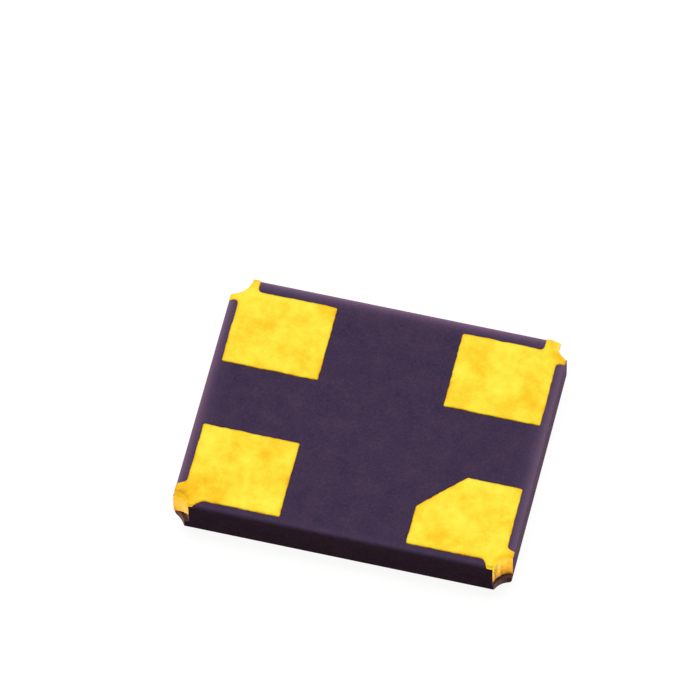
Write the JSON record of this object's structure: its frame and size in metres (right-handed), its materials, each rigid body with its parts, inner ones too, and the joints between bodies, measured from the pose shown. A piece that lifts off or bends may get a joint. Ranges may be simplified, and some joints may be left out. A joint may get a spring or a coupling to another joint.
{
  "type": "crystal oscillator",
  "caption": "Ceramic surface-mount crystal oscillator lying on its lid: gold solder pads up, plated castellations in the corners, and a pad with a cut corner as the index mark.",
  "frame": {"origin": "middle of the face that it rests on, the outer face of the lid", "axes": "+X along the package towards terminals 1 and 4, +Y across it towards terminals 3 and 4, +Z out of the terminal side"},
  "size_m": [0.0032, 0.0024, 0.0006],
  "materials": {
    "package_ceramic": "unglazed dark purple-black fired alumina, fine grain",
    "terminal_gold": "gold plating over nickel, satin, faintly mottled",
    "braze": "silver-copper braze",
    "ring_plating": "plated iron-nickel-cobalt alloy",
    "lid_nickel": "nickel-plated, satin, with a seam weld track",
    "inner_gold": "gold plating on fired tungsten",
    "silver_adhesive": "silver-filled adhesive",
    "silicon": "polished silicon",
    "bond_pad_aluminium": "bare aluminium film",
    "bond_wire_gold": "drawn gold",
    "quartz": "lapped and etched quartz",
    "electrode_silver": "evaporated silver film"
  },
  "bodies": {
    "root": {"ceramic_package": "package_ceramic", "braze_frame": "braze", "seal_ring": "ring_plating", "lid": "lid_nickel", "terminal_1": "terminal_gold", "terminal_2": "terminal_gold", "terminal_3": "terminal_gold", "terminal_4": "terminal_gold", "die_land": "inner_gold", "die_attach": "silver_adhesive", "oscillator_die": "silicon", "bond_pads": "bond_pad_aluminium", "track_1": "inner_gold", "track_2": "inner_gold", "track_3": "inner_gold", "track_4": "inner_gold", "track_5": "inner_gold", "track_6": "inner_gold", "bond_wire_1": "bond_wire_gold", "bond_wire_2": "bond_wire_gold", "bond_wire_3": "bond_wire_gold", "bond_wire_4": "bond_wire_gold", "bond_wire_5": "bond_wire_gold", "bond_wire_6": "bond_wire_gold", "crystal_land_left": "inner_gold", "crystal_land_right": "inner_gold", "glue_dot_left": "silver_adhesive", "glue_dot_right": "silver_adhesive", "quartz_blank": "quartz", "die_side_electrode": "electrode_silver", "lid_side_electrode": "electrode_silver"}
  },
  "joints": []
}
